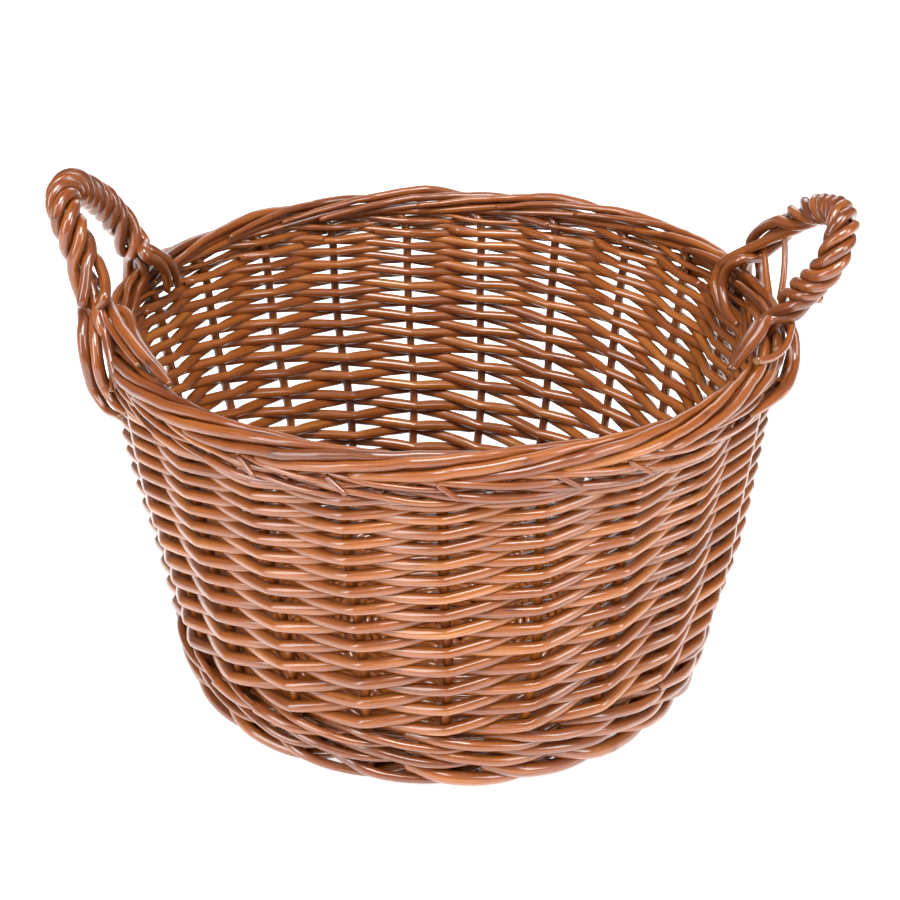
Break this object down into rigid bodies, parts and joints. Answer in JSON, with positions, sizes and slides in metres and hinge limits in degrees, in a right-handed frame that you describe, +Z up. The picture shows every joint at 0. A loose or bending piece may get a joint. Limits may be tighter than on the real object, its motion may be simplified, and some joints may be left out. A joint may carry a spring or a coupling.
{
  "type": "wicker log basket",
  "caption": "Round tapering basket of woven willow rods with a rolled border and a twisted rope handle at each side, for logs.",
  "frame": {"origin": "on the floor under the middle of the basket", "axes": "+Z up, handles at -X and +X, the side seen first faces -Y"},
  "size_m": [0.4784, 0.4203, 0.3322],
  "materials": {
    "stakes": "varnished willow, satin gloss",
    "weave": "varnished willow, satin gloss",
    "wales": "varnished willow, satin gloss",
    "handles": "varnished willow, satin gloss",
    "base": "varnished willow, satin gloss"
  },
  "bodies": {
    "root": {"base_sticks_pierced": "base", "base_sticks_through": "base", "base_weave": "base", "foot_wale": "wales", "lower_wale_1": "wales", "lower_wale_2": "wales", "upper_wale": "wales", "handle_right_bow": "handles", "handle_right_wrap": "handles", "handle_left_bow": "handles", "handle_left_wrap": "handles", "stake_0": "stakes", "stake_1": "stakes", "stake_2": "stakes", "stake_3": "stakes", "stake_4": "stakes", "stake_5": "stakes", "stake_6": "stakes", "stake_7": "stakes", "stake_8": "stakes", "stake_9": "stakes", "stake_10": "stakes", "stake_11": "stakes", "stake_12": "stakes", "stake_13": "stakes", "stake_14": "stakes", "stake_15": "stakes", "stake_16": "stakes", "stake_17": "stakes", "stake_18": "stakes", "stake_19": "stakes", "stake_20": "stakes", "stake_21": "stakes", "stake_22": "stakes", "weaver_0": "weave", "weaver_1": "weave", "weaver_2": "weave", "weaver_3": "weave", "weaver_4": "weave", "weaver_5": "weave", "weaver_6": "weave", "weaver_7": "weave", "weaver_8": "weave", "weaver_9": "weave", "weaver_10": "weave", "weaver_11": "weave", "weaver_12": "weave", "weaver_13": "weave", "weaver_14": "weave", "weaver_15": "weave", "weaver_16": "weave", "weaver_17": "weave", "weaver_18": "weave", "weaver_19": "weave", "weaver_20": "weave", "weaver_21": "weave", "weaver_22": "weave"}
  },
  "joints": []
}
